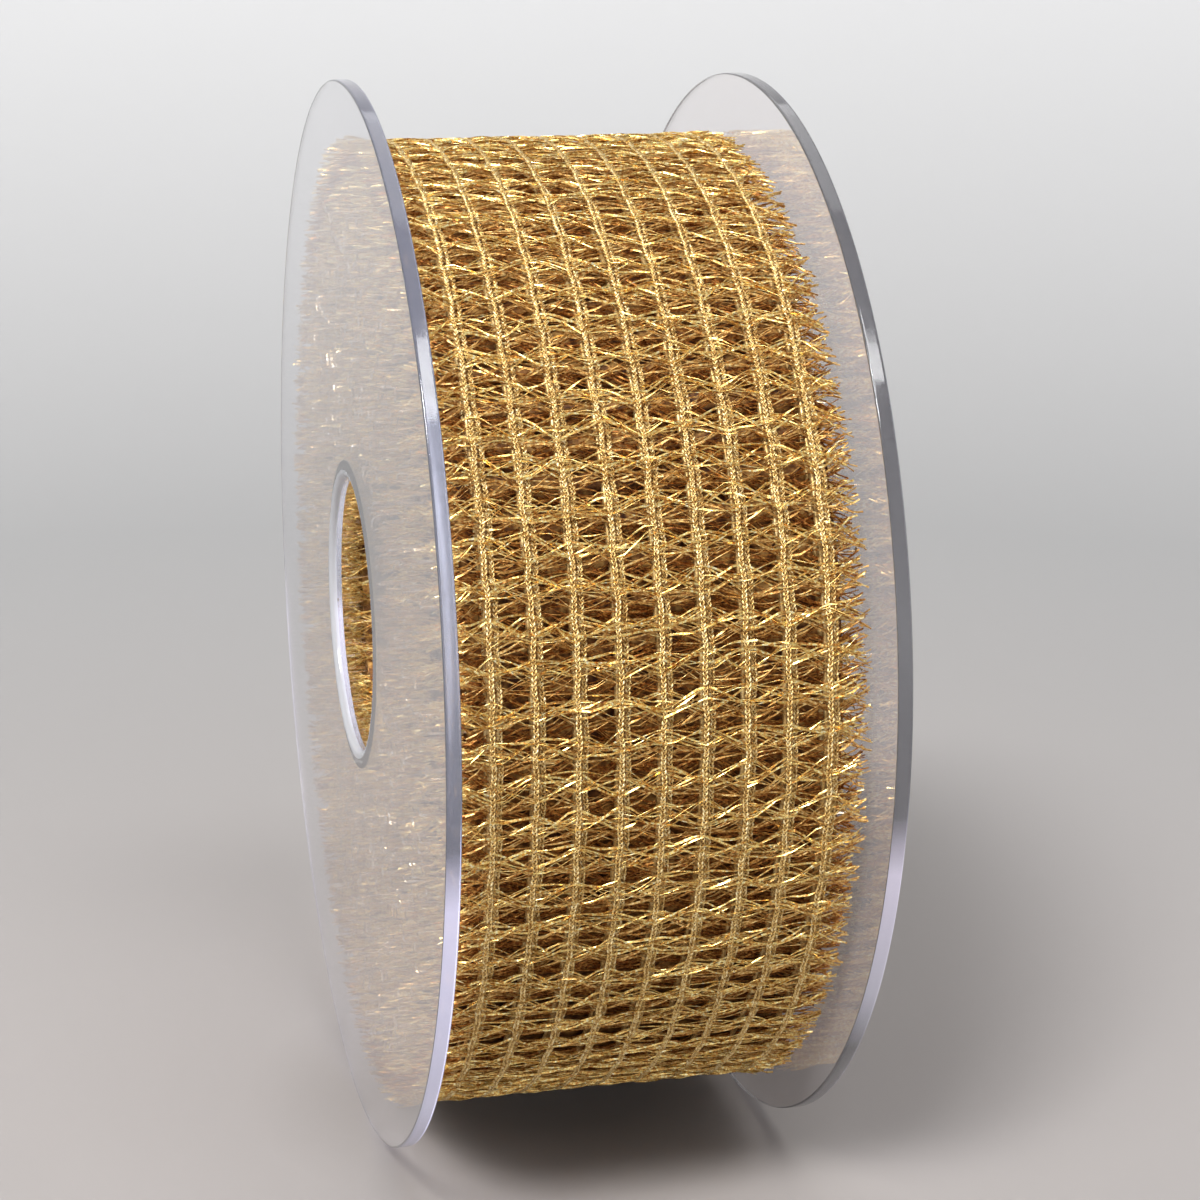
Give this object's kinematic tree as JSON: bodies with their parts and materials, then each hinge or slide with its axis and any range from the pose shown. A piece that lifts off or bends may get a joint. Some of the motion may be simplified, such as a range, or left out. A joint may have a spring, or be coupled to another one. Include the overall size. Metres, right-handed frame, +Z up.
{
  "type": "ribbon spool",
  "caption": "Clear two-part plastic spool standing on its rims, wound with gold metallic lattice ribbon whose loose end lifts off; the halves pull apart.",
  "frame": {"origin": "centre of the hub, on the spool's axis, halfway between the two flanges' outer faces", "axes": "+Y along the spool's axis from the left half to the right half, +Z up with the spool standing on its two rims, +X towards the front"},
  "size_m": [0.115, 0.0446, 0.115],
  "materials": {
    "clear_plastic": "clear, polished",
    "gold_net": "metallic filament",
    "gold_cord": "metallic twisted cord",
    "clear_tape": "clear, glossy"
  },
  "bodies": {
    "spool": {"left_half": "clear_plastic", "start_tape": "clear_tape", "ribbon_roll": "gold_net", "weft_bars": "gold_net", "warp_cord_1": "gold_cord", "warp_cord_2": "gold_cord", "warp_cord_3": "gold_cord", "warp_cord_4": "gold_cord", "warp_cord_5": "gold_cord", "warp_cord_6": "gold_cord", "warp_cord_7": "gold_cord", "warp_cord_8": "gold_cord", "warp_cord_9": "gold_cord"},
    "right_side": {"right_half": "clear_plastic"},
    "tail_root": {"ribbon_tail_1": "gold_net"},
    "tail_middle": {"ribbon_tail_2": "gold_net"},
    "tail_tip": {"ribbon_tail_3": "gold_net", "end_tape": "clear_tape"}
  },
  "joints": [
    {"name": "halves_pull", "type": "slide", "parent": "spool", "child": "right_side", "axis": [0, 1, 0], "range_m": [0, 0.02]},
    {"name": "tail_lift", "type": "hinge", "parent": "spool", "child": "tail_root", "pos_m": [-0.00641, 0, 0.05101], "axis": [0, 1, 0], "range_deg": [0, 25]},
    {"name": "tail_unroll_middle", "type": "hinge", "parent": "tail_root", "child": "tail_middle", "pos_m": [-0.02787, 0, 0.04341], "axis": [0, 1, 0], "range_deg": [0, 25]},
    {"name": "tail_unroll_tip", "type": "hinge", "parent": "tail_middle", "child": "tail_tip", "pos_m": [-0.04411, 0, 0.02745], "axis": [0, 1, 0], "range_deg": [0, 25]}
  ],
  "couplings": [
    {"joint": "tail_unroll_middle", "follows": "tail_lift", "ratio": 1},
    {"joint": "tail_unroll_tip", "follows": "tail_lift", "ratio": 1}
  ]
}
